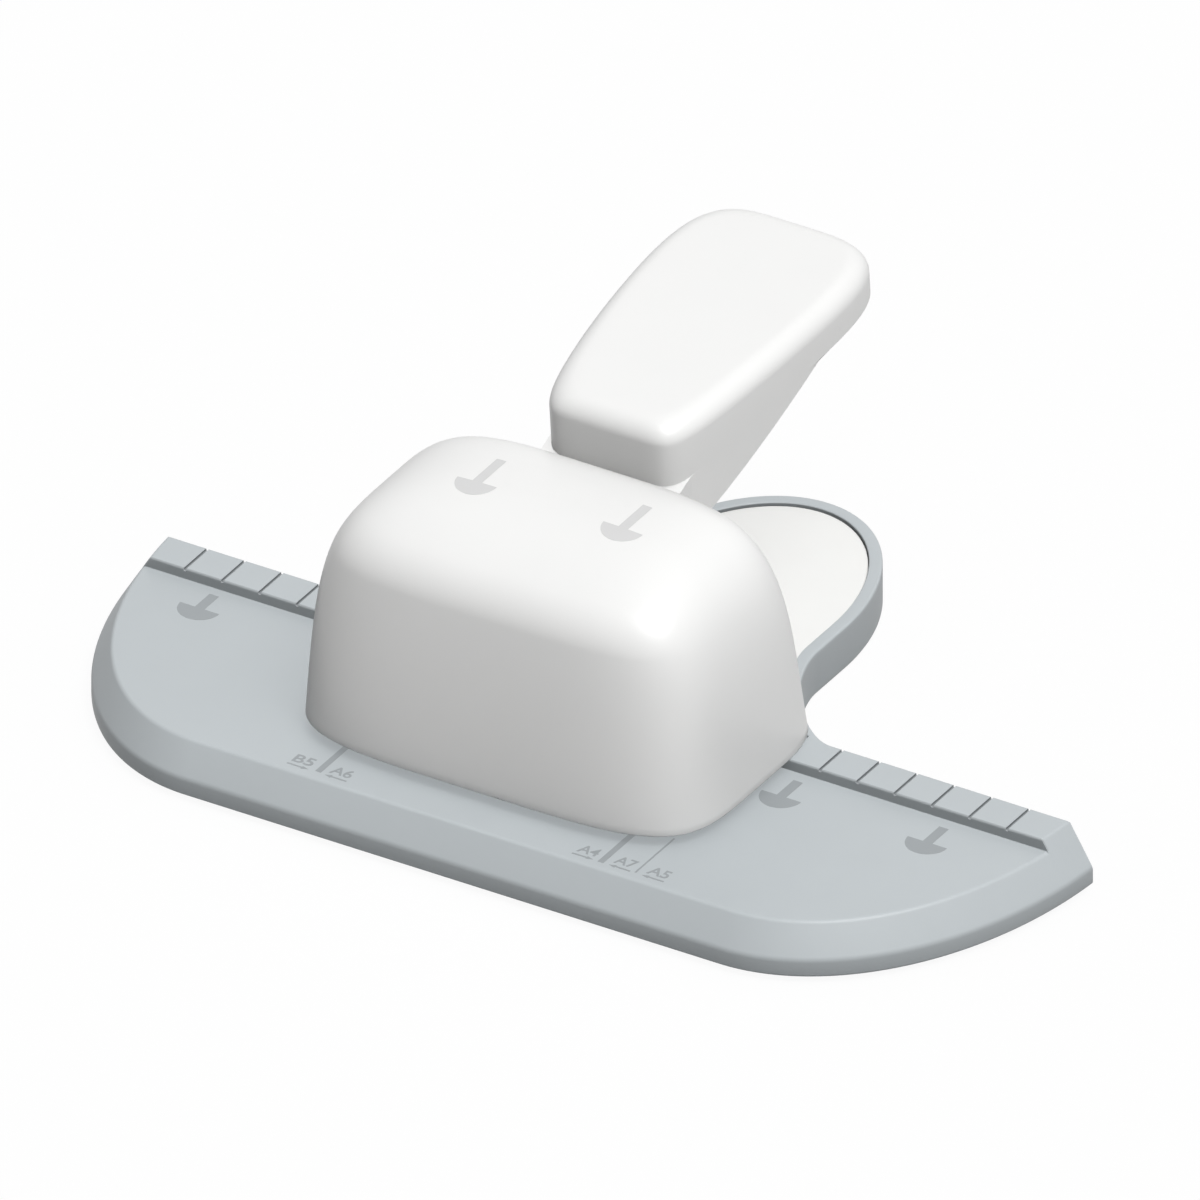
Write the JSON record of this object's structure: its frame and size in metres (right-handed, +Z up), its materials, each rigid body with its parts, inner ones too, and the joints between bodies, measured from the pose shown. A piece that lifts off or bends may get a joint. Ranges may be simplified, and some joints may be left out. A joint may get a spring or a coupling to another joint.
{
  "type": "disc binding punch",
  "caption": "Desk punch for disc binding: wing-shaped base with a paper fence, domed housing, mushroom punches inside, and a sprung lever handle that swings down over a rear tongue.",
  "frame": {"origin": "under the middle of the base, on the plane that the rubber feet stand on", "axes": "+X to the user's right along the paper fence, +Y away from the user towards the rear tongue, +Z up"},
  "size_m": [0.165, 0.1116, 0.0619],
  "materials": {
    "base_plastic": "satin light grey",
    "white_plastic": "smooth white",
    "rubber": "matte",
    "tray_plastic": "matte grey",
    "tool_steel": "ground",
    "sheet_steel": "bright zinc",
    "pin_steel": "drawn",
    "spring_steel": "oil blackened",
    "screw_steel": "zinc"
  },
  "bodies": {
    "base": {"base_shell": "base_plastic", "tongue_inlay": "white_plastic", "bottom_cover": "base_plastic", "cover_screws": "screw_steel", "rubber_feet": "rubber", "die_plate": "tool_steel", "paper_stop": "sheet_steel", "punch_frame": "sheet_steel", "frame_screws": "screw_steel", "left_guide_post": "pin_steel", "right_guide_post": "pin_steel", "post_clips": "spring_steel", "left_spring": "spring_steel", "right_spring": "spring_steel", "pivot_pin": "pin_steel", "pivot_clips": "spring_steel", "pivot_spacers": "pin_steel", "housing_shell": "white_plastic", "housing_screws": "screw_steel"},
    "lever": {"lever_arm": "sheet_steel", "roller_pin": "pin_steel", "roller_clips": "spring_steel", "handle_shell": "white_plastic", "handle_screws": "screw_steel"},
    "roller": {"press_roller": "tool_steel"},
    "press": {"press_bar": "sheet_steel", "left_punch": "tool_steel", "right_punch": "tool_steel", "punch_pins": "pin_steel"},
    "tray": {"chip_tray": "tray_plastic"}
  },
  "joints": [
    {"name": "handle_hinge", "type": "hinge", "parent": "base", "child": "lever", "pos_m": [-0.0016, -0.03415, 0.02695], "axis": [-1, 0, 0], "range_deg": [0, 20], "stiffness_Nm_per_rad": 0.8, "springref_deg": -8.59},
    {"name": "press_slide", "type": "slide", "parent": "base", "child": "press", "axis": [0, 0, -1], "range_m": [0, 0.00635], "deforming": ["left_spring", "right_spring"]},
    {"name": "roller_spin", "type": "hinge", "parent": "lever", "child": "roller", "pos_m": [-0.0016, -0.01725, 0.03595], "axis": [1, 0, 0], "continuous": true},
    {"name": "tray_slide", "type": "slide", "parent": "base", "child": "tray", "axis": [0, 0, -1], "range_m": [0, 0.02]}
  ],
  "couplings": [
    {"joint": "press_slide", "follows": "handle_hinge", "m_per_rad": 0.0181}
  ]
}
